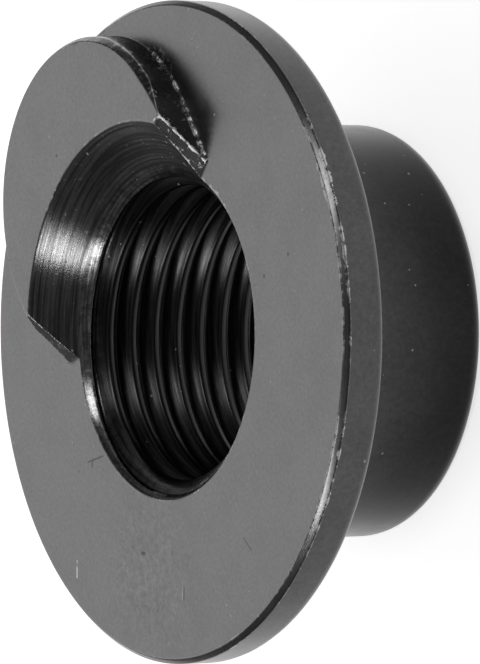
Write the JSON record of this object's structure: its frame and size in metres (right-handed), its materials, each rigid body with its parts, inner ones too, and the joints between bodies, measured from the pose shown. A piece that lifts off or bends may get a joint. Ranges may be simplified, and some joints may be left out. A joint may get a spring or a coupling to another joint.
{
  "type": "t-nut",
  "caption": "Flanged barrel nut, turned from one piece of blackened steel, with a right-hand internal thread and a crescent lug on its flange face.",
  "frame": {"origin": "centre of the barrel's end face, on the thread's axis", "axes": "+Z along the thread's axis, from the barrel end to the flange face; +X towards the crescent lug"},
  "size_m": [0.0244, 0.0244, 0.0104],
  "materials": {
    "blackened_steel": "turned steel with a dark grey black-oxide finish, satin on the faces, bright where edges are worn"
  },
  "bodies": {
    "root": {"t_nut": "blackened_steel"}
  },
  "joints": []
}
